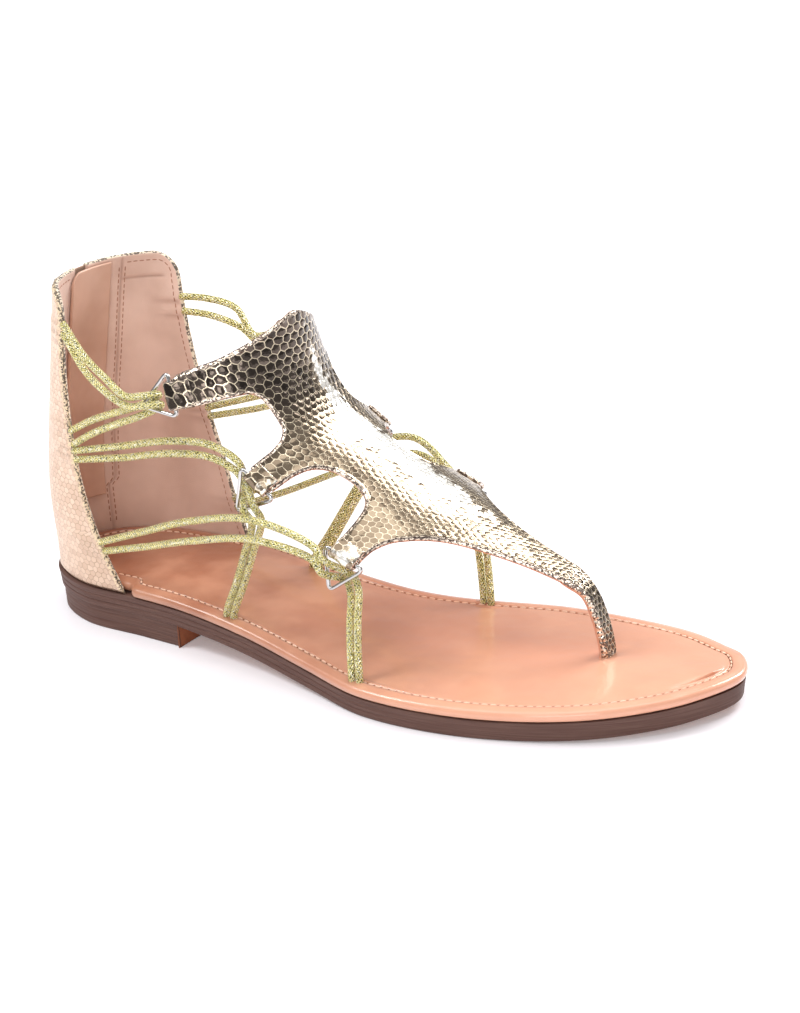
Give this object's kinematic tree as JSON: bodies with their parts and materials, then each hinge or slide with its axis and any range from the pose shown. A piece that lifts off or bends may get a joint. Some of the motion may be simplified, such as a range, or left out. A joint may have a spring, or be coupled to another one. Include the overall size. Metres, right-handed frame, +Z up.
{
  "type": "gladiator sandal",
  "caption": "Right gladiator sandal: low stacked heel, toe-post vamp with ringed tabs, elastic cords, and a tall counter that zips at the back.",
  "frame": {"origin": "on the floor under the middle of the heel", "axes": "+X from heel to toe, +Y to the inner side of the foot, +Z up"},
  "size_m": [0.2461, 0.0915, 0.114],
  "materials": {
    "sole": "satin dark brown with faint stacked lines",
    "footbed": "smooth semi-gloss tan",
    "counter": "pale rose-gold foil with a fine scale emboss, suede lining",
    "guard": "smooth tan",
    "tape": "woven tape with moulded teeth",
    "metal": "polished nickel",
    "pull": "pale beige, edge painted",
    "vamp": "gold foil with a scale emboss, glossy",
    "cord": "metallic gold-green braided elastic"
  },
  "bodies": {
    "sandal": {"outsole": "sole", "footbed": "footbed", "counter": "counter", "zip_guard": "guard", "zip_tape": "tape", "zip_slider": "metal", "vamp": "vamp", "ring_upper_inner": "metal", "cord_upper_inner_1": "cord", "cord_upper_inner_2": "cord", "ring_middle_inner": "metal", "cord_middle_inner_1": "cord", "cord_middle_inner_2": "cord", "ring_lower_inner": "metal", "cord_lower_inner_1": "cord", "cord_lower_inner_2": "cord", "ring_upper_outer": "metal", "cord_upper_outer_1": "cord", "cord_upper_outer_2": "cord", "ring_middle_outer": "metal", "cord_middle_outer_1": "cord", "cord_middle_outer_2": "cord", "ring_lower_outer": "metal", "cord_lower_outer_1": "cord", "cord_lower_outer_2": "cord"},
    "zip_pull": {"zip_pull": "pull"}
  },
  "joints": [
    {"name": "pull_swing", "type": "hinge", "parent": "sandal", "child": "zip_pull", "pos_m": [-0.02174, 0, 0.10791], "axis": [0, 1, 0], "range_deg": [0, 150]}
  ]
}
